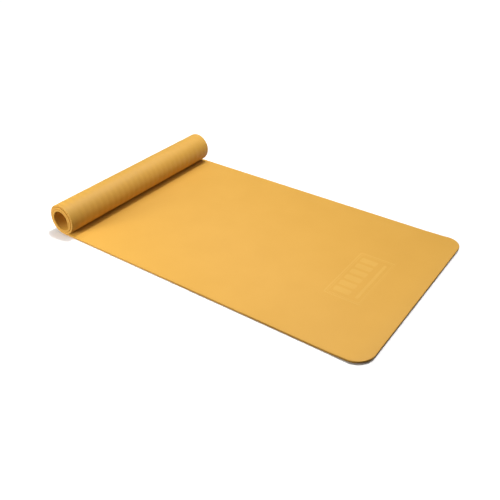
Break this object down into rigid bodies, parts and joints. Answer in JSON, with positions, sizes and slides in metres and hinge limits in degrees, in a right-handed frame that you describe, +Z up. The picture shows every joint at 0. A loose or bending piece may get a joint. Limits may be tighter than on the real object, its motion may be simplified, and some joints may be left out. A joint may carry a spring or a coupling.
{
  "type": "exercise mat",
  "caption": "Rectangular foam exercise mat with rounded corners, half laid flat and half rolled up; its strips hinge, so the roll turns over and the free end curls.",
  "frame": {"origin": "on the floor, under the middle of the whole shape", "axes": "+X along the mat to its free end, +Y across it, +Z up"},
  "size_m": [0.9944, 0.61, 0.095],
  "materials": {
    "foam": "matte"
  },
  "bodies": {
    "flat_run": {"flat_run": "foam"},
    "lay_strip_23": {"lay_strip_23": "foam"},
    "lay_strip_22": {"lay_strip_22": "foam"},
    "lay_strip_21": {"lay_strip_21": "foam"},
    "lay_strip_20": {"lay_strip_20": "foam"},
    "lay_strip_19": {"lay_strip_19": "foam"},
    "lay_strip_18": {"lay_strip_18": "foam"},
    "lay_strip_17": {"lay_strip_17": "foam"},
    "lay_strip_16": {"lay_strip_16": "foam"},
    "lay_strip_15": {"lay_strip_15": "foam"},
    "lay_strip_14": {"lay_strip_14": "foam"},
    "lay_strip_13": {"lay_strip_13": "foam"},
    "lay_strip_12": {"lay_strip_12": "foam"},
    "lay_strip_11": {"lay_strip_11": "foam"},
    "lay_strip_10": {"lay_strip_10": "foam"},
    "lay_strip_09": {"lay_strip_09": "foam"},
    "lay_strip_08": {"lay_strip_08": "foam"},
    "lay_strip_07": {"lay_strip_07": "foam"},
    "lay_strip_06": {"lay_strip_06": "foam"},
    "lay_strip_05": {"lay_strip_05": "foam"},
    "lay_strip_04": {"lay_strip_04": "foam"},
    "lay_strip_03": {"lay_strip_03": "foam"},
    "lay_strip_02": {"lay_strip_02": "foam"},
    "lay_strip_01": {"lay_strip_01": "foam"},
    "contact_strip": {"contact_strip": "foam"},
    "turn_strip_01": {"turn_strip_01": "foam"},
    "turn_strip_02": {"turn_strip_02": "foam"},
    "turn_strip_03": {"turn_strip_03": "foam"},
    "turn_strip_04": {"turn_strip_04": "foam"},
    "turn_strip_05": {"turn_strip_05": "foam"},
    "turn_strip_06": {"turn_strip_06": "foam"},
    "turn_strip_07": {"turn_strip_07": "foam"},
    "turn_strip_08": {"turn_strip_08": "foam"},
    "turn_strip_09": {"turn_strip_09": "foam"},
    "turn_strip_10": {"turn_strip_10": "foam"},
    "turn_strip_11": {"turn_strip_11": "foam"},
    "roll_core": {"turn_strip_12": "foam", "core_quarter_01": "foam", "core_quarter_02": "foam", "core_quarter_03": "foam", "core_quarter_04": "foam", "core_quarter_05": "foam", "core_quarter_06": "foam", "core_quarter_07": "foam", "core_quarter_08": "foam", "core_quarter_09": "foam", "core_quarter_10": "foam"},
    "end_strip_01": {"end_strip_01": "foam"},
    "end_strip_02": {"end_strip_02": "foam"},
    "end_strip_03": {"end_strip_03": "foam"},
    "end_strip_04": {"end_strip_04": "foam"},
    "end_flap": {"end_flap": "foam"}
  },
  "joints": [
    {"name": "roll_up_24", "type": "hinge", "parent": "flat_run", "child": "lay_strip_23", "pos_m": [-0.16393, 0, 0.006], "axis": [0, -1, 0], "range_deg": [-15, 0]},
    {"name": "roll_up_23", "type": "hinge", "parent": "lay_strip_23", "child": "lay_strip_22", "pos_m": [-0.17652, 0, 0.006], "axis": [0, -1, 0], "range_deg": [-15, 0]},
    {"name": "roll_up_22", "type": "hinge", "parent": "lay_strip_22", "child": "lay_strip_21", "pos_m": [-0.1891, 0, 0.006], "axis": [0, -1, 0], "range_deg": [-15, 0]},
    {"name": "roll_up_21", "type": "hinge", "parent": "lay_strip_21", "child": "lay_strip_20", "pos_m": [-0.20169, 0, 0.006], "axis": [0, -1, 0], "range_deg": [-15, 0]},
    {"name": "roll_up_20", "type": "hinge", "parent": "lay_strip_20", "child": "lay_strip_19", "pos_m": [-0.21428, 0, 0.006], "axis": [0, -1, 0], "range_deg": [-15, 0]},
    {"name": "roll_up_19", "type": "hinge", "parent": "lay_strip_19", "child": "lay_strip_18", "pos_m": [-0.22686, 0, 0.006], "axis": [0, -1, 0], "range_deg": [-15, 0]},
    {"name": "roll_up_18", "type": "hinge", "parent": "lay_strip_18", "child": "lay_strip_17", "pos_m": [-0.23945, 0, 0.006], "axis": [0, -1, 0], "range_deg": [-15, 0]},
    {"name": "roll_up_17", "type": "hinge", "parent": "lay_strip_17", "child": "lay_strip_16", "pos_m": [-0.25203, 0, 0.006], "axis": [0, -1, 0], "range_deg": [-15, 0]},
    {"name": "roll_up_16", "type": "hinge", "parent": "lay_strip_16", "child": "lay_strip_15", "pos_m": [-0.26462, 0, 0.006], "axis": [0, -1, 0], "range_deg": [-15, 0]},
    {"name": "roll_up_15", "type": "hinge", "parent": "lay_strip_15", "child": "lay_strip_14", "pos_m": [-0.27721, 0, 0.006], "axis": [0, -1, 0], "range_deg": [-15, 0]},
    {"name": "roll_up_14", "type": "hinge", "parent": "lay_strip_14", "child": "lay_strip_13", "pos_m": [-0.28979, 0, 0.006], "axis": [0, -1, 0], "range_deg": [-15, 0]},
    {"name": "roll_up_13", "type": "hinge", "parent": "lay_strip_13", "child": "lay_strip_12", "pos_m": [-0.30238, 0, 0.006], "axis": [0, -1, 0], "range_deg": [-15, 0]},
    {"name": "roll_up_12", "type": "hinge", "parent": "lay_strip_12", "child": "lay_strip_11", "pos_m": [-0.31455, 0, 0.006], "axis": [0, -1, 0], "range_deg": [-15, 0]},
    {"name": "roll_up_11", "type": "hinge", "parent": "lay_strip_11", "child": "lay_strip_10", "pos_m": [-0.32631, 0, 0.006], "axis": [0, -1, 0], "range_deg": [-15, 0]},
    {"name": "roll_up_10", "type": "hinge", "parent": "lay_strip_10", "child": "lay_strip_09", "pos_m": [-0.33806, 0, 0.006], "axis": [0, -1, 0], "range_deg": [-15, 0]},
    {"name": "roll_up_09", "type": "hinge", "parent": "lay_strip_09", "child": "lay_strip_08", "pos_m": [-0.34982, 0, 0.006], "axis": [0, -1, 0], "range_deg": [-15, 0]},
    {"name": "roll_up_08", "type": "hinge", "parent": "lay_strip_08", "child": "lay_strip_07", "pos_m": [-0.36158, 0, 0.006], "axis": [0, -1, 0], "range_deg": [-15, 0]},
    {"name": "roll_up_07", "type": "hinge", "parent": "lay_strip_07", "child": "lay_strip_06", "pos_m": [-0.37333, 0, 0.006], "axis": [0, -1, 0], "range_deg": [-15, 0]},
    {"name": "roll_up_06", "type": "hinge", "parent": "lay_strip_06", "child": "lay_strip_05", "pos_m": [-0.38509, 0, 0.006], "axis": [0, -1, 0], "range_deg": [-15, 0]},
    {"name": "roll_up_05", "type": "hinge", "parent": "lay_strip_05", "child": "lay_strip_04", "pos_m": [-0.39685, 0, 0.006], "axis": [0, -1, 0], "range_deg": [-15, 0]},
    {"name": "roll_up_04", "type": "hinge", "parent": "lay_strip_04", "child": "lay_strip_03", "pos_m": [-0.4086, 0, 0.006], "axis": [0, -1, 0], "range_deg": [-15, 0]},
    {"name": "roll_up_03", "type": "hinge", "parent": "lay_strip_03", "child": "lay_strip_02", "pos_m": [-0.42036, 0, 0.006], "axis": [0, -1, 0], "range_deg": [-15, 0]},
    {"name": "roll_up_02", "type": "hinge", "parent": "lay_strip_02", "child": "lay_strip_01", "pos_m": [-0.43212, 0, 0.006], "axis": [0, -1, 0], "range_deg": [-15, 0]},
    {"name": "roll_up_01", "type": "hinge", "parent": "lay_strip_01", "child": "contact_strip", "pos_m": [-0.44387, 0, 0.006], "axis": [0, -1, 0], "range_deg": [-15, 0]},
    {"name": "unroll_01", "type": "hinge", "parent": "contact_strip", "child": "turn_strip_01", "pos_m": [-0.456, 0, 0], "axis": [0, -1, 0], "range_deg": [0, 15]},
    {"name": "unroll_02", "type": "hinge", "parent": "turn_strip_01", "child": "turn_strip_02", "pos_m": [-0.46808, 0, 0.00324], "axis": [0, -1, 0], "range_deg": [0, 15]},
    {"name": "unroll_03", "type": "hinge", "parent": "turn_strip_02", "child": "turn_strip_03", "pos_m": [-0.47892, 0, 0.00949], "axis": [0, -1, 0], "range_deg": [0, 15]},
    {"name": "unroll_04", "type": "hinge", "parent": "turn_strip_03", "child": "turn_strip_04", "pos_m": [-0.48776, 0, 0.01833], "axis": [0, -1, 0], "range_deg": [0, 15]},
    {"name": "unroll_05", "type": "hinge", "parent": "turn_strip_04", "child": "turn_strip_05", "pos_m": [-0.49401, 0, 0.02917], "axis": [0, -1, 0], "range_deg": [0, 15]},
    {"name": "unroll_06", "type": "hinge", "parent": "turn_strip_05", "child": "turn_strip_06", "pos_m": [-0.49725, 0, 0.04125], "axis": [0, -1, 0], "range_deg": [0, 15]},
    {"name": "unroll_07", "type": "hinge", "parent": "turn_strip_06", "child": "turn_strip_07", "pos_m": [-0.49725, 0, 0.05375], "axis": [0, -1, 0], "range_deg": [0, 15]},
    {"name": "unroll_08", "type": "hinge", "parent": "turn_strip_07", "child": "turn_strip_08", "pos_m": [-0.49401, 0, 0.06583], "axis": [0, -1, 0], "range_deg": [0, 15]},
    {"name": "unroll_09", "type": "hinge", "parent": "turn_strip_08", "child": "turn_strip_09", "pos_m": [-0.48776, 0, 0.07667], "axis": [0, -1, 0], "range_deg": [0, 15]},
    {"name": "unroll_10", "type": "hinge", "parent": "turn_strip_09", "child": "turn_strip_10", "pos_m": [-0.47892, 0, 0.08551], "axis": [0, -1, 0], "range_deg": [0, 15]},
    {"name": "unroll_11", "type": "hinge", "parent": "turn_strip_10", "child": "turn_strip_11", "pos_m": [-0.46808, 0, 0.09176], "axis": [0, -1, 0], "range_deg": [0, 15]},
    {"name": "unroll_12", "type": "hinge", "parent": "turn_strip_11", "child": "roll_core", "pos_m": [-0.456, 0, 0.095], "axis": [0, -1, 0], "range_deg": [0, 15]},
    {"name": "curl_01", "type": "hinge", "parent": "flat_run", "child": "end_strip_01", "pos_m": [0.39625, 0, 0.006], "axis": [0, -1, 0], "range_deg": [0, 15]},
    {"name": "curl_02", "type": "hinge", "parent": "end_strip_01", "child": "end_strip_02", "pos_m": [0.40825, 0, 0.006], "axis": [0, -1, 0], "range_deg": [0, 15]},
    {"name": "curl_03", "type": "hinge", "parent": "end_strip_02", "child": "end_strip_03", "pos_m": [0.42025, 0, 0.006], "axis": [0, -1, 0], "range_deg": [0, 15]},
    {"name": "curl_04", "type": "hinge", "parent": "end_strip_03", "child": "end_strip_04", "pos_m": [0.43225, 0, 0.006], "axis": [0, -1, 0], "range_deg": [0, 15]},
    {"name": "curl_05", "type": "hinge", "parent": "end_strip_04", "child": "end_flap", "pos_m": [0.44425, 0, 0.006], "axis": [0, -1, 0], "range_deg": [0, 15]}
  ]
}
